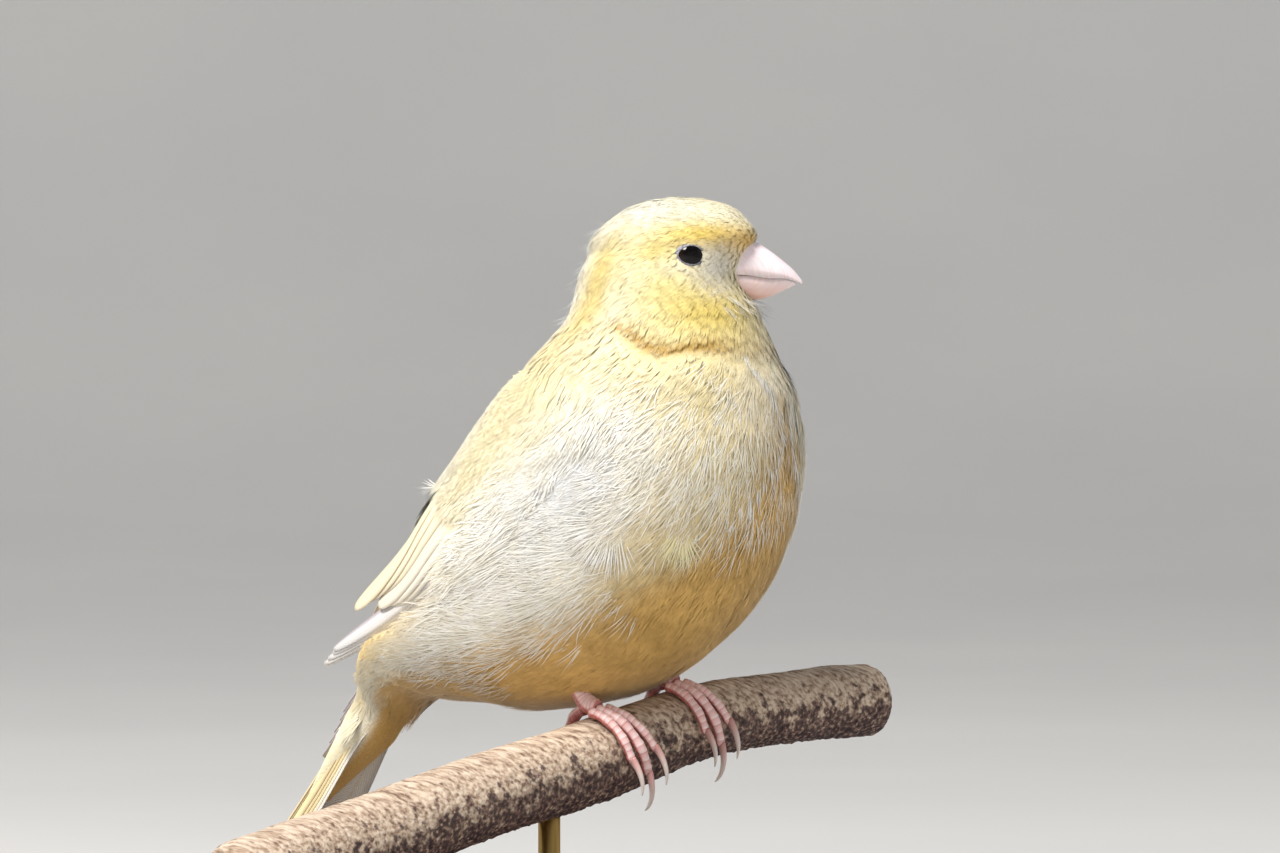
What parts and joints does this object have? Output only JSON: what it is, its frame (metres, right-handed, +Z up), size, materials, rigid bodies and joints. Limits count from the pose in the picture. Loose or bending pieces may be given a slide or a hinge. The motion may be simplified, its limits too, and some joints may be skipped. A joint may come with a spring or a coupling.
{
  "type": "canary",
  "caption": "Still, life-size yellow canary perched on a short cut branch, held over a round wooden base by two rods.",
  "frame": {"origin": "centre of the round base's underside, on the surface that the model stands on", "axes": "+X the way the bird's body faces, +Y the bird's left side, +Z up"},
  "size_m": [0.1244, 0.1277, 0.1287],
  "materials": {
    "plumage": "soft pale yellow feathers",
    "flight_feathers": "silky cream feather vanes",
    "bill_horn": "smooth pink horn",
    "eye": "wet black",
    "leg_skin": "scaly pink skin",
    "claw_horn": "pale translucent horn",
    "branch_wood": "weathered grey-tan bark",
    "stand_wood": "satin dark wood",
    "rod_metal": "satin brass"
  },
  "bodies": {
    "root": {"rump": "plumage", "torso": "plumage", "neck": "plumage", "head": "plumage", "wing_right": "flight_feathers", "wing_left": "flight_feathers", "tail": "flight_feathers", "bill_upper": "bill_horn", "bill_lower": "bill_horn", "eye_right": "eye", "eye_left": "eye", "leg_right": "leg_skin", "leg_left": "leg_skin", "claw_right_inner": "claw_horn", "claw_right_middle": "claw_horn", "claw_right_outer": "claw_horn", "claw_right_hind": "claw_horn", "claw_left_inner": "claw_horn", "claw_left_middle": "claw_horn", "claw_left_outer": "claw_horn", "claw_left_hind": "claw_horn", "perch": "branch_wood", "stand_base": "stand_wood", "stand_rod_1": "rod_metal", "stand_rod_2": "rod_metal"}
  },
  "joints": []
}
